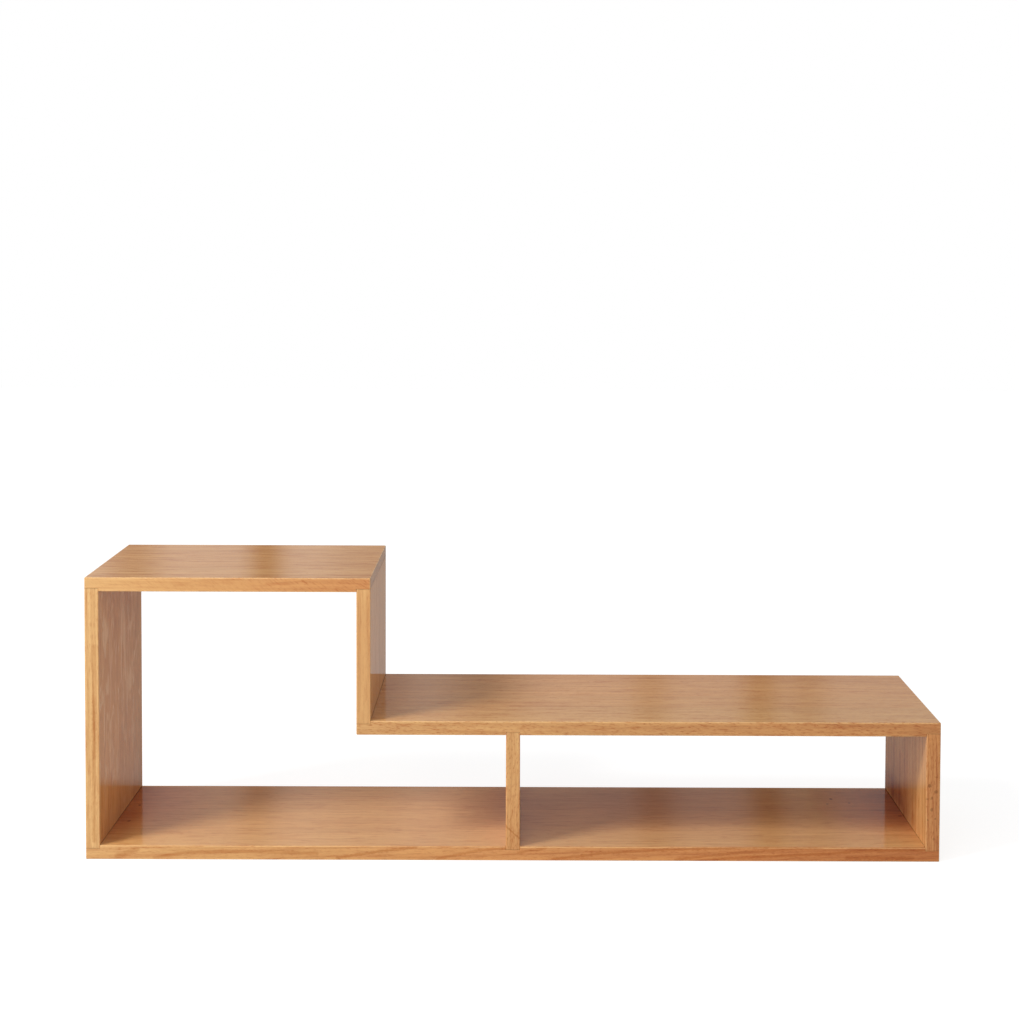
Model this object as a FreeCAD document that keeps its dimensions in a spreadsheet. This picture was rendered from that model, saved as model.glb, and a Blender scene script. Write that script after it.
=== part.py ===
"""Stepped beech shelf: seven boards in shallow housings, held by dowels and screws inside the joints.

Millimetres, +Z up, +X along the length, front towards -Y, origin on the floor under the middle.
"""
import FreeCAD, Part
import Sketcher
import os
import re

SIZES = {
    # outside of the shelf
    "overall_length": 915,
    "overall_depth": 200,
    "overall_height": 304,
    "board_thickness": 15,
    "upper_box_length": 305,  # left end to the right face of the riser
    "lower_shelf_height": 150.5,  # floor to the top of the lower shelf
    "shelf_overhang": 160,  # left end of the lower shelf to the divider
    # edges and housings
    "arris_radius": 1,
    "end_chamfer": 0.4,
    "housing_depth": 3.5,
    "glue_gap": 0.1,
    # fluted dowels, glued into blind holes
    "dowel_diameter": 6,
    "dowel_length": 25,
    "dowel_cover": 3.5,  # wood left over the upper end of a dowel
    "dowel_chamfer": 0.8,
    "dowel_gap": 0.1,
    "dowel_end_room": 0.5,
    "dowel_inset": 30,  # front edge to the first dowel, back edge to the last
    "dowel_count": 3,
    "flute_diameter": 0.8,
    "flute_count": 12,
    # countersunk wood screws, driven up from below
    "screw_length": 40,
    "screw_shank_diameter": 4,
    "screw_shank_length": 14,  # outer face of the head to the start of the thread
    "screw_root_diameter": 2.8,
    "screw_point_length": 4,
    "screw_head_diameter": 8,
    "screw_head_height": 2.4,
    "screw_head_rim": 0.3,
    "screw_recess": 0.5,  # underside of the board to the outer face of the head
    "screw_gap": 0.1,
    "screw_end_room": 1,
    "screw_inset": 45,
    "screw_count": 2,
    # cross recess in the screw head
    "drive_width": 1,
    "drive_span": 4.4,
    "drive_depth": 1.6,
}

# Places and lengths that follow from the sizes above
SHELF_START = "(upper_box_length - board_thickness)"
DIVIDER_START = "(upper_box_length - board_thickness + shelf_overhang)"
RIGHT_PANEL_START = "(overall_length - board_thickness)"
BASE_HOUSING_FLOOR = "(board_thickness - housing_depth)"
SHELF_UNDERSIDE = "(lower_shelf_height - board_thickness)"
TOP_UNDERSIDE = "(overall_height - board_thickness)"
SHELF_TOP_HOUSING_FLOOR = "(lower_shelf_height - housing_depth)"
LOW_PANEL_TOP = "(lower_shelf_height - board_thickness + housing_depth)"
TALL_PANEL_TOP = "(overall_height - board_thickness + housing_depth)"

# Boards that lie flat: start from the left end, height of the underside, length
BOARDS = {
    "bottom_board": ("0", "0", "overall_length"),
    "lower_shelf_board": (SHELF_START, SHELF_UNDERSIDE, "(overall_length - %s)" % SHELF_START),
    "upper_top_board": ("0", TOP_UNDERSIDE, "upper_box_length"),
}

# Panels that stand: start from the left end, height of the foot, height of the top
PANELS = {
    "left_side_panel": ("0", BASE_HOUSING_FLOOR, TALL_PANEL_TOP),
    "riser_panel": (SHELF_START, SHELF_TOP_HOUSING_FLOOR, TALL_PANEL_TOP),
    "divider_panel": (DIVIDER_START, BASE_HOUSING_FLOOR, LOW_PANEL_TOP),
    "right_side_panel": (RIGHT_PANEL_START, BASE_HOUSING_FLOOR, LOW_PANEL_TOP),
}

# Joints: board, panel housed in it, place of the housing along the board, fasteners.
# Dowels join a board to the panels under it, screws a board to the panels that stand on it.
DOWELLED_JOINTS = [
    ("upper_top_board", "left_side_panel", "left end", "dowels_top_to_left_side"),
    ("upper_top_board", "riser_panel", "right end", "dowels_top_to_riser"),
    ("lower_shelf_board", "divider_panel", "inside", "dowels_shelf_to_divider"),
    ("lower_shelf_board", "right_side_panel", "right end", "dowels_shelf_to_right_side"),
]
SCREWED_JOINTS = [
    ("bottom_board", "left_side_panel", "left end", "screws_base_to_left_side"),
    ("bottom_board", "divider_panel", "inside", "screws_base_to_divider"),
    ("bottom_board", "right_side_panel", "right end", "screws_base_to_right_side"),
    ("lower_shelf_board", "riser_panel", "left end", "screws_shelf_to_riser"),
]

# Lower and upper limit of a housing, from the underside of its board
UNDERSIDE_HOUSING = ("0", "housing_depth")
TOP_HOUSING = ("board_thickness - housing_depth", "board_thickness")

# Degrees that a ring of cuts spans
FULL_TURN = 360
QUARTER_TURN = 90

# Half outlines, turned about the axis: (radius, height), heights from the lower end upwards
DOWEL_RADIUS = "dowel_diameter / 2"
DOWEL_OUTLINE = [
    ("0", "0"),
    ("%s - dowel_chamfer" % DOWEL_RADIUS, "0"),
    (DOWEL_RADIUS, "dowel_chamfer"),
    (DOWEL_RADIUS, "dowel_length - dowel_chamfer"),
    ("%s - dowel_chamfer" % DOWEL_RADIUS, "dowel_length"),
    ("0", "dowel_length"),
]
DOWEL_HOLE_OUTLINE = [
    ("0", "-dowel_end_room"),
    ("%s + dowel_gap" % DOWEL_RADIUS, "-dowel_end_room"),
    ("%s + dowel_gap" % DOWEL_RADIUS, "dowel_length + dowel_end_room"),
    ("0", "dowel_length + dowel_end_room"),
]
SCREW_OUTLINE = [
    ("0", "0"),
    ("screw_head_diameter / 2", "0"),
    ("screw_head_diameter / 2", "screw_head_rim"),
    ("screw_shank_diameter / 2", "screw_head_height"),
    ("screw_shank_diameter / 2", "screw_shank_length"),
    ("screw_root_diameter / 2", "screw_shank_length"),
    ("screw_root_diameter / 2", "screw_length - screw_point_length"),
    ("0", "screw_length"),
]
SCREW_HOLE_OUTLINE = [
    ("0", "-screw_recess"),
    ("screw_head_diameter / 2 + screw_gap", "-screw_recess"),
    ("screw_head_diameter / 2 + screw_gap", "screw_head_rim"),
    ("screw_shank_diameter / 2 + screw_gap", "screw_head_height"),
    ("screw_shank_diameter / 2 + screw_gap", "screw_shank_length + screw_gap"),
    ("screw_root_diameter / 2 + screw_gap", "screw_shank_length + screw_gap"),
    ("screw_root_diameter / 2 + screw_gap", "screw_length + screw_end_room"),
    ("0", "screw_length + screw_end_room"),
]

doc = FreeCAD.newDocument("stepped_shelf")
sheet = doc.addObject("Spreadsheet::Sheet", "Sizes")
for row, (alias, size) in enumerate(SIZES.items(), start=1):
    sheet.set("A%d" % row, alias)
    sheet.set("B%d" % row, str(size))
    sheet.setAlias("B%d" % row, alias)
doc.recompute()


def bound(expression):
    """The expression with the sheet's name before each size."""
    return re.sub(r"[a-z_]+", lambda size: "Sizes." + size.group(), expression)


def tie(target, path, expression):
    """Binds one property of an object to the sheet."""
    target.setExpression(path, bound(expression))


def value(expression):
    """What an expression comes to now."""
    return float(sheet.evalExpression(expression))


def origin_feature(body, role):
    """One of the body's own origin planes or axes."""
    return next(feature for feature in body.Origin.OriginFeatures if feature.Role == role)


def new_body(label, left, front, foot):
    """An empty body, placed by its distance from the left end, the front face and the floor."""
    body = doc.addObject("PartDesign::Body", label)
    body.Label = label
    tie(body, "Placement.Base.x", "%s - overall_length / 2" % left)
    tie(body, "Placement.Base.y", "%s - overall_depth / 2" % front)
    tie(body, "Placement.Base.z", foot)
    return body


def new_sketch(body, name, plane):
    """A sketch on one of the body's origin planes."""
    sketch = body.newObject("Sketcher::SketchObject", name)
    sketch.AttachmentSupport = [(origin_feature(body, plane), "")]
    sketch.MapMode = "FlatFace"
    return sketch


def pin(sketch, geometry, point, across, up):
    """Holds one point of a sketch at its distances from the sketch's origin."""
    origin, horizontal_axis, vertical_axis = -1, -1, -2
    for kind, expression, axis in (
        ("DistanceX", across, vertical_axis),
        ("DistanceY", up, horizontal_axis),
    ):
        if expression == "0":
            sketch.addConstraint(Sketcher.Constraint("PointOnObject", geometry, point, axis))
            continue
        distance = value(expression)
        constraint = Sketcher.Constraint(kind, origin, 1, geometry, point, distance)
        tie(sketch, "Constraints[%d]" % sketch.addConstraint(constraint), expression)


def draw_outline(sketch, corners):
    """A closed outline of straight lines through the corners."""
    points = [FreeCAD.Vector(value(across), value(up), 0) for across, up in corners]
    count = len(points)
    for index in range(count):
        sketch.addGeometry(Part.LineSegment(points[index], points[(index + 1) % count]))
    for index in range(count):
        sketch.addConstraint(Sketcher.Constraint("Coincident", index, 2, (index + 1) % count, 1))
    for index, (across, up) in enumerate(corners):
        pin(sketch, index, 1, across, up)


def draw_rectangle(sketch, left, bottom, right, top):
    draw_outline(sketch, [(left, bottom), (right, bottom), (right, top), (left, top)])


def draw_circle(sketch, across, up, diameter):
    centre = FreeCAD.Vector(value(across), value(up), 0)
    normal = FreeCAD.Vector(0, 0, 1)
    sketch.addGeometry(Part.Circle(centre, normal, value(diameter) / 2))
    pin(sketch, 0, 3, across, up)
    constraint = Sketcher.Constraint("Diameter", 0, value(diameter))
    tie(sketch, "Constraints[%d]" % sketch.addConstraint(constraint), diameter)


def pad_block(body, length, height):
    """The sawn blank: length along X, the full depth along Y, height along Z."""
    sketch = new_sketch(body, "blank_outline", "XY_Plane")
    draw_rectangle(sketch, "0", "0", length, "overall_depth")
    pad = body.newObject("PartDesign::Pad", "blank")
    pad.Profile = sketch
    tie(pad, "Length", height)
    doc.recompute()
    return pad


def dress(body, kind, name, base, edges, path, expression):
    """A fillet or chamfer on the named edges of the feature before it."""
    feature = body.newObject("PartDesign::" + kind, name)
    feature.Base = (base, edges)
    tie(feature, path, expression)
    doc.recompute()
    return feature


def edge_names(feature, upright):
    """Names of the feature's edges that run along Z, or of those that lie level."""
    names = []
    for number, edge in enumerate(feature.Shape.Edges, start=1):
        run = edge.lastVertex().Point - edge.firstVertex().Point
        if (abs(run.z) > run.Length / 2) == upright:
            names.append("Edge%d" % number)
    return names


def repeat_along_depth(body, name, inset, count):
    """An empty row from the front inset to the back inset."""
    row = body.newObject("PartDesign::LinearPattern", name)
    row.Direction = (origin_feature(body, "Y_Axis"), [""])
    tie(row, "Length", "overall_depth - 2 * %s" % inset)
    tie(row, "Occurrences", count)
    return row


def flat_board(label):
    """A board that lies flat, with every arris eased."""
    left, underside, length = BOARDS[label]
    body = new_body(label, left, "0", underside)
    blank = pad_block(body, length, "board_thickness")
    every_edge = edge_names(blank, upright=True) + edge_names(blank, upright=False)
    dress(body, "Fillet", "eased_arrises", blank, every_edge, "Radius", "arris_radius")
    return body


def standing_panel(label):
    """A panel that stands in housings: upright arrises eased, ends chamfered to enter the housings."""
    left, foot, top = PANELS[label]
    body = new_body(label, left, "0", foot)
    blank = pad_block(body, "board_thickness", "%s - %s" % (top, foot))
    corners = edge_names(blank, upright=True)
    eased = dress(body, "Fillet", "eased_arrises", blank, corners, "Radius", "arris_radius")
    ends = edge_names(eased, upright=False)
    dress(body, "Chamfer", "end_chamfers", eased, ends, "Size", "end_chamfer")
    return body


def cut_housing(body, board, panel, place, bottom, top):
    """A housing right across the board for one panel, open at the end where the panel is flush with it."""
    board_left, underside, board_length = BOARDS[board]
    panel_left = "%s - %s" % (PANELS[panel][0], board_left)
    left = "0" if place == "left end" else "%s - glue_gap" % panel_left
    right = board_length if place == "right end" else "%s + board_thickness + glue_gap" % panel_left
    sketch = new_sketch(body, "housing_outline", "XZ_Plane")
    draw_rectangle(sketch, left, bottom, right, top)
    pocket = body.newObject("PartDesign::Pocket", "housing")
    pocket.Profile = sketch
    pocket.Type = "ThroughAll"
    doc.recompute()


def drill_row(body, hole_outline, across, foot, inset, count):
    """A row of turned holes from front to back, each drawn about its fastener's axis."""
    sketch = new_sketch(body, "hole_outline", "XZ_Plane")
    tie(sketch, "AttachmentOffset.Base.x", across)
    tie(sketch, "AttachmentOffset.Base.y", foot)
    tie(sketch, "AttachmentOffset.Base.z", "-" + inset)
    draw_outline(sketch, hole_outline)
    hole = body.newObject("PartDesign::Groove", "hole")
    hole.Profile = sketch
    hole.ReferenceAxis = (sketch, ["V_Axis"])
    doc.recompute()
    row = repeat_along_depth(body, "hole_row", inset, count)
    row.Originals = [hole]
    body.Tip = row
    doc.recompute()


def turned_body(label, left, front, foot, half_outline):
    """A body turned from a half outline about its own Z axis."""
    body = new_body(label, left, front, foot)
    body.AllowCompound = True
    sketch = new_sketch(body, "half_outline", "XZ_Plane")
    draw_outline(sketch, half_outline)
    turned = body.newObject("PartDesign::Revolution", "turned")
    turned.Profile = sketch
    turned.ReferenceAxis = (sketch, ["V_Axis"])
    doc.recompute()
    return body


def cut_round_axis(body, name, sketch, depth, count, angle):
    """Cuts a sketch upwards from the lower end and repeats the cut round the Z axis."""
    pocket = body.newObject("PartDesign::Pocket", name)
    pocket.Profile = sketch
    pocket.Reversed = True
    tie(pocket, "Length", depth)
    doc.recompute()
    ring = body.newObject("PartDesign::PolarPattern", name + "_ring")
    ring.Originals = [pocket]
    ring.Axis = (origin_feature(body, "Z_Axis"), [""])
    ring.Angle = angle
    tie(ring, "Occurrences", count)
    body.Tip = ring
    doc.recompute()


def repeat_whole(body, inset, count):
    """Repeats a finished fastener along the joint, as separate solids."""
    row = repeat_along_depth(body, "row", inset, count)
    row.TransformMode = "Whole shape"
    body.Tip = row
    doc.recompute()


def dowel_row(label, axis, lower_end):
    """Fluted dowels, partly in the top of a panel and partly in the board above it."""
    body = turned_body(label, axis, "dowel_inset", lower_end, DOWEL_OUTLINE)
    sketch = new_sketch(body, "flute_outline", "XY_Plane")
    draw_circle(sketch, DOWEL_RADIUS, "0", "flute_diameter")
    cut_round_axis(body, "flute", sketch, "dowel_length", "flute_count", FULL_TURN)
    repeat_whole(body, "dowel_inset", "dowel_count")
    return body


def screw_row(label, axis, head_face):
    """Countersunk screws with a cross recess, up through a board into the foot of a panel."""
    body = turned_body(label, axis, "screw_inset", head_face, SCREW_OUTLINE)
    sketch = new_sketch(body, "drive_outline", "XY_Plane")
    draw_rectangle(sketch, "-drive_span / 2", "-drive_width / 2", "drive_span / 2", "drive_width / 2")
    cut_round_axis(body, "drive", sketch, "drive_depth", "2", QUARTER_TURN)
    repeat_whole(body, "screw_inset", "screw_count")
    return body


def house_and_drill(board, panel, place, housing, lower_end, hole_outline, inset, count):
    """One joint: the housing in the board, and the same row of holes in the board and in the panel."""
    board_left, underside, board_length = BOARDS[board]
    panel_left, foot, top = PANELS[panel]
    axis = "%s + board_thickness / 2" % panel_left
    cut_housing(bodies[board], board, panel, place, *housing)
    for label, left, bottom in ((board, board_left, underside), (panel, panel_left, foot)):
        across = "%s - %s" % (axis, left)
        up = "%s - %s" % (lower_end, bottom)
        drill_row(bodies[label], hole_outline, across, up, inset, count)
    return axis


bodies = {}
for label in BOARDS:
    bodies[label] = flat_board(label)
for label in PANELS:
    bodies[label] = standing_panel(label)

for board, panel, place, dowels in DOWELLED_JOINTS:
    upper_end = "%s + board_thickness - dowel_cover" % BOARDS[board][1]
    lower_end = "%s - dowel_length" % upper_end
    axis = house_and_drill(
        board, panel, place, UNDERSIDE_HOUSING, lower_end,
        DOWEL_HOLE_OUTLINE, "dowel_inset", "dowel_count",
    )
    bodies[dowels] = dowel_row(dowels, axis, lower_end)

for board, panel, place, screws in SCREWED_JOINTS:
    head_face = "%s + screw_recess" % BOARDS[board][1]
    axis = house_and_drill(
        board, panel, place, TOP_HOUSING, head_face,
        SCREW_HOLE_OUTLINE, "screw_inset", "screw_count",
    )
    bodies[screws] = screw_row(screws, axis, head_face)

doc.recompute()

for feature in doc.Objects:
    if "Invalid" in feature.State or "Error" in feature.State:
        raise RuntimeError("%s failed: %s" % (feature.Name, feature.State))
    if feature.TypeId in ("PartDesign::Pocket", "PartDesign::Groove"):
        if feature.BaseFeature.Shape.Volume - feature.Shape.Volume <= 0:
            raise RuntimeError("%s cuts nothing" % feature.Name)

for label, body in bodies.items():
    if body.Shape.isNull() or not body.Shape.isValid():
        raise RuntimeError("%s has no valid shape" % label)

os.makedirs("parts", exist_ok=True)
for label, body in bodies.items():
    body.Shape.exportStep(os.path.join("parts", body.Label + ".step"))
    box = body.Shape.BoundBox
    print(
        "%-28s solids %d  volume %9.1f  x %8.2f %8.2f  z %7.2f %7.2f"
        % (label, len(body.Shape.Solids), body.Shape.Volume, box.XMin, box.XMax, box.ZMin, box.ZMax)
    )
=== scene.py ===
import math

import bpy
from mathutils import Matrix, Vector


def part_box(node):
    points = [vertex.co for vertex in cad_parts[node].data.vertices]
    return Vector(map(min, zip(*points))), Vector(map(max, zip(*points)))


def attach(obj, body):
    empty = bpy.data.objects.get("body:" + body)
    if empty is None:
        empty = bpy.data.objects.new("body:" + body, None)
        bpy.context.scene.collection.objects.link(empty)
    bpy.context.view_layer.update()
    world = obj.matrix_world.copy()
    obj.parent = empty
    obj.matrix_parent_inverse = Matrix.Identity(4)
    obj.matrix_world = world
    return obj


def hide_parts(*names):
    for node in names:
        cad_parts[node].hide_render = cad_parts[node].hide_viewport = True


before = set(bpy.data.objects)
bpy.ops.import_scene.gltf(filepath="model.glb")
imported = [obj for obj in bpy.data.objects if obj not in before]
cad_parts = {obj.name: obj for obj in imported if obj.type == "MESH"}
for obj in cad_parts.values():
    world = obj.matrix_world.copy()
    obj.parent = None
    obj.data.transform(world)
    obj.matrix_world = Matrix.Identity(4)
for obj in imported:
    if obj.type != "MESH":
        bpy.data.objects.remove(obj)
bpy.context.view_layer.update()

MM = 0.001

# The seven boards. Each is glued up from four staves, listed from the front to the back:
# seams between them in mm from the front, how pale each one is (0 dark, 1 pale) and how red.
# Figure is the strength of the growth rings and grain that of streaks and fibres, each on the
# faces and on the front edge. Lean is the slope of the rings and slant that of the flecks.
# Some values are stops at even steps along the grain; a single stop holds all along.
# tone and warmth are painted shade: stops added to paleness and redness towards the back of the inner face,
# darker and redder where the shelf and the panels shade it, most in the corners and at the feet of the
# panels, with a few paler stops;
# cloud is the strength of pale wavy patches on that face, figure painted in the colour as an uneven sheen,
# and bloom that of a pale haze painted in the colour as the white that the lacquer reflects.
# The front edge has its own paleness, redness and flecks, as stops too.
# The inner face of a flat board is its upper one, that of a panel its right one unless it faces left.
PLAIN = dict(faces_left=False, painted_shade=(0.0,), painted_shade_warmth=(0.0,), painted_sheen=(0.0,), painted_reflection=(0.0,))
BOARDS = {
    "bottom_board": dict(
        PLAIN, standing=False, seed=11, seams=(53, 118, 147), lean=-0.045, slant=-0.05,
        figure=(0.08, 0.32), grain=(0.8, 0.8), fleck=0.18, edge_fleck=(0.4, 0.5),
        paleness=(0.75, 0.71, 0.65, 0.62), redness=(-0.08, -0.06, 0.05, 0.22),
        painted_shade=(-0.54, -0.04, 0.0, 0.09, 0.08, -0.28, -0.15, 0.04, -0.68),
        painted_shade_warmth=(2.10, 0.20, 0.0, 0.0, 0.30, 0.60, 0.50, -0.20, 2.50),
        painted_reflection=(0.0, 0.015, 0.05, 0.05, 0.05, 0.025, 0.03, 0.03, 0.0),
        edge_paleness=(0.92, 0.84, 0.77, 0.70, 0.49), edge_redness=(-0.10, 0.15, 0.85, 1.30, 1.75),
    ),
    "lower_shelf_board": dict(
        PLAIN, standing=False, seed=12, seams=(58, 103, 161), lean=0.006, slant=-0.06,
        figure=(0.15, 0.20), grain=(1.0, 1.0), fleck=0.40, edge_fleck=(0.75, 0.95),
        paleness=(0.64, 0.62, 0.63, 0.60), redness=(-0.10, 0.20, 0.40, 0.50),
        edge_paleness=(0.79, 0.71, 0.60), edge_redness=(-0.10, 0.25, 0.90),
    ),
    "upper_top_board": dict(
        PLAIN, standing=False, seed=13, seams=(55, 116, 164), lean=0.010, slant=-0.70,
        figure=(0.12, 0.12), grain=(1.3, 0.8), fleck=0.35, edge_fleck=(0.25, 0.45, 0.7, 0.7),
        paleness=(0.54, 0.54, 0.58, 0.57), redness=(-0.10, 0.10, 0.10, 0.15),
        edge_paleness=(0.95, 0.75, 0.62), edge_redness=(-0.10, 0.30, 1.00),
    ),
    "left_side_panel": dict(
        PLAIN, standing=True, seed=14, seams=(44, 97, 158), lean=0.008, slant=0.05,
        figure=(0.15, 0.30), grain=(0.8, 1.0), fleck=0.15, edge_fleck=(0.35,),
        paleness=(0.77, 0.80, 0.69, 0.68), redness=(0.40, 0.40, 0.40, 0.40),
        painted_shade=(-0.16, 0.05, 0.03, 0.0, -0.10), painted_sheen=(0.0, 0.5, 0.75, 0.75, 0.75),
        edge_paleness=(0.90, 0.89, 0.90), edge_redness=(-0.30,),
    ),
    "riser_panel": dict(
        PLAIN, standing=True, seed=15, seams=(62, 109, 149), lean=-0.008, slant=0.10,
        figure=(0.30, 0.20), grain=(0.8, 0.7), fleck=0.20, edge_fleck=(0.25,),
        paleness=(0.88, 0.89, 0.87, 0.89), redness=(0.55, 0.55, 0.55, 0.55),
        painted_shade=(-0.03, 0.04),
        edge_paleness=(0.79, 0.76, 0.74, 0.74, 0.75, 0.90), edge_redness=(-0.10, 0.0, 0.10, -0.05),
    ),
    "divider_panel": dict(
        PLAIN, standing=True, seed=16, seams=(51, 104, 155), lean=0.010, slant=0.12,
        figure=(0.20, 0.20), grain=(0.7, 0.9), fleck=0.25, edge_fleck=(0.7,),
        paleness=(0.76, 0.76, 0.74, 0.76), redness=(0.80, 0.80, 0.80, 0.80),
        edge_paleness=(0.70, 0.75, 0.77), edge_redness=(0.35, 0.15, -0.05),
    ),
    "right_side_panel": dict(
        PLAIN, standing=True, faces_left=True, seed=17, seams=(85, 128, 165), lean=0.006, slant=0.05,
        figure=(0.40, 0.40), grain=(1.1, 1.2), fleck=0.30, edge_fleck=(0.7,),
        paleness=(0.91, 0.72, 0.73, 0.73), redness=(0.22, 0.55, 0.45, 0.45),
        painted_shade=(-0.22, -0.15, 0.06, 0.24, 0.28), painted_shade_warmth=(0.4, 0.2, 0.0, -0.8, -0.9),
        edge_paleness=(0.64,), edge_redness=(1.05,),
    ),
}
STAVES = 4
ARRIS = 1.0 * MM
ARRIS_STEPS = 3
ARRIS_FACES = 2
PANEL_END_CHAMFER = 0.4 * MM
GLUE_GAP = 0.1 * MM
SCREW_SINK = 2.9 * MM
SCREW_HOLE_SIDES = 48
NEAR = 0.01 * MM
FAR = 1.0

# Marks in mm: knots in the timber as place, size and strength; dark streaks as the points they run through,
# width and strength, in the timber apart from those along the feet of the side panels, which are painted
# shade.
KNOTS = {
    "bottom_board": (
        (-429.5, -23.5, 15.0, 2.8, 0.90), (-429.5, 30.0, 15.0, 2.4, 0.85), (370.5, 59.0, 15.0, 2.9, 0.90),
        (363.0, 41.5, 15.0, 2.2, 0.65), (389.0, 45.0, 15.0, 2.4, 0.65), (438.0, 1.5, 15.0, 2.6, 0.75),
    ),
    "right_side_panel": (
        (446.0, -100.0, 82.5, 2.6, 0.55), (453.0, -100.0, 76.0, 2.6, 0.45), (448.5, -100.0, 69.0, 2.0, 0.40),
        (444.0, -100.0, 68.5, 1.4, 0.40), (448.5, -100.0, 56.5, 2.3, 0.45), (452.5, -100.0, 47.0, 1.5, 0.45),
        (444.5, -100.0, 45.5, 1.5, 0.40), (451.0, -100.0, 25.0, 1.9, 0.30), (453.5, -100.0, 91.5, 1.4, 0.40),
    ),
}
STREAKS_AND_FOOT_SHADE = {
    "bottom_board": (
        # painted shade along the foot of the left panel
        (((-436.0, -73.0, 15.0), (-436.0, 0.0, 15.0)), 26.0, 0.50),
        (((-424.0, -100.0, 3.5), (-402.5, -100.0, 11.0)), 4.5, 0.40),
        (((-383.5, -100.0, 1.5), (-353.5, -100.0, 7.5), (-312.5, -100.0, 9.0),
          (-210.0, -100.0, 7.5)), 3.4, 0.38),
        (((-188.0, -100.0, 2.5), (-143.0, -100.0, 9.5), (-103.5, -100.0, 14.0)), 2.4, 0.45),
        (((-80.5, -100.0, 2.0), (-35.5, -100.0, 11.0), (-6.5, -100.0, 14.0)), 2.4, 0.40),
        (((6.0, -100.0, 9.0), (35.0, -100.0, 13.5)), 2.4, 0.35),
        (((42.5, -100.0, 1.5), (92.0, -100.0, 8.0), (164.0, -100.0, 12.5),
          (300.0, -100.0, 16.0)), 2.2, 0.46),
        (((174.5, -100.0, 1.5), (239.0, -100.0, 9.0), (330.0, -100.0, 16.0)), 2.4, 0.36),
        (((190.0, -100.0, -1.0), (232.5, -100.0, 3.5), (340.0, -100.0, 8.5), (375.5, -100.0, 12.0),
          (442.0, -100.0, 13.0)), 2.6, 0.46),
        (((358.5, -100.0, 4.5), (429.0, -100.0, 4.0)), 3.0, 0.40),
    ),
    "divider_panel": ((((-7.5, -100.0, 37.5), (7.5, -100.0, 24.0)), 1.5, 0.50),),
    "left_side_panel": (
        (((-448.5, -100.0, 20.0), (-448.0, -100.0, 170.0)), 3.6, 0.36),
        (((-447.5, -100.0, 110.0), (-447.0, -100.0, 230.0)), 3.6, 0.32),
    ),
    "right_side_panel": (
        (((442.5, 54.0, 95.0), (442.5, 57.0, 15.0)), 9.0, 0.40),
        (((442.5, 23.0, 80.0), (442.5, 26.0, 18.0)), 7.0, 0.40),
        # painted shade along the foot of the right panel, towards the back
        (((442.5, 95.0, 30.0), (442.5, 20.0, 31.0)), 20.0, 0.65),
    ),
}


# Node trees

def feed(tree, socket, value):
    """Links a socket to an input, or sets the input to a plain value."""
    if isinstance(value, bpy.types.NodeSocket):
        tree.links.new(value, socket)
    else:
        socket.default_value = value


def node(tree, kind, inputs=None, **settings):
    """A new node with its settings made and its inputs fed, by name or by number."""
    made = tree.nodes.new(kind)
    for name, value in settings.items():
        setattr(made, name, value)
    for key, value in (inputs or {}).items():
        feed(tree, made.inputs[key], value)
    return made


def reckon(tree, operation, *values):
    """A sum on numbers."""
    return node(tree, "ShaderNodeMath", dict(enumerate(values)), operation=operation).outputs[0]


def vector_sum(tree, operation, *values):
    """A sum on vectors; a dot product or a length comes out as a number."""
    made = node(tree, "ShaderNodeVectorMath", dict(enumerate(values)), operation=operation)
    number = operation in ("DOT_PRODUCT", "LENGTH", "DISTANCE")
    return made.outputs["Value" if number else "Vector"]


def parts_of(tree, vector):
    """The three parts of a vector."""
    return node(tree, "ShaderNodeSeparateXYZ", {0: vector}).outputs


def whole_of(tree, x, y, z):
    """A vector from its three parts."""
    return node(tree, "ShaderNodeCombineXYZ", {0: x, 1: y, 2: z}).outputs[0]


def between(tree, factor, first, second):
    """A number on the way from the first to the second."""
    return node(tree, "ShaderNodeMix", {0: factor, 2: first, 3: second}).outputs[0]


def along_board(tree, run, stops):
    """A number that goes through the stops, at even steps, as run goes from 0 to 1."""
    reached = stops[0]
    steps = len(stops) - 1.0
    for passed, stop in enumerate(stops[1:]):
        reached = between(tree, reckon(tree, "MULTIPLY_ADD", run, steps, -passed), reached, stop)
    return reached


def ramped(tree, value, low, high, start=0.0, end=1.0):
    """Eases a value from start to end as it goes from low to high."""
    made = node(
        tree, "ShaderNodeMapRange",
        {0: value, 1: low, 2: high, 3: start, 4: end},
        interpolation_type="SMOOTHSTEP",
    )
    return made.outputs[0]


def new_group(name, kind, inputs, outputs):
    """An empty node group with named sockets; returns it with its input and output sockets."""
    tree = bpy.data.node_groups.new(name, kind)
    for in_out, sockets in (("INPUT", inputs), ("OUTPUT", outputs)):
        for label, sort in sockets.items():
            tree.interface.new_socket(label, in_out=in_out, socket_type="NodeSocket" + sort)
    return tree, tree.nodes.new("NodeGroupInput").outputs, tree.nodes.new("NodeGroupOutput").inputs


def give_out(tree, geometry, finish, outlet):
    """Ends a geometry tree: instances made real, finish set."""
    real = node(tree, "GeometryNodeRealizeInstances", {0: geometry}).outputs[0]
    dressed = node(tree, "GeometryNodeSetMaterial", {"Geometry": real, "Material": finish})
    tree.links.new(dressed.outputs[0], outlet["Geometry"])


def keep_attribute(tree, geometry, name, data_type, domain, value):
    """Stores a named attribute on the geometry."""
    stored = node(
        tree, "GeometryNodeStoreNamedAttribute",
        {"Geometry": geometry, "Name": name, "Value": value},
        data_type=data_type, domain=domain,
    )
    return stored.outputs[0]


def apply_tree(piece, tree, values):
    """Puts a geometry tree on a piece, with its inputs set by their identifiers."""
    modifier = piece.modifiers.new(tree.name, "NODES")
    modifier.node_group = tree
    for item in tree.interface.items_tree:
        if item.in_out == "INPUT" and item.name in values:
            modifier[item.identifier] = values[item.name]


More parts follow.
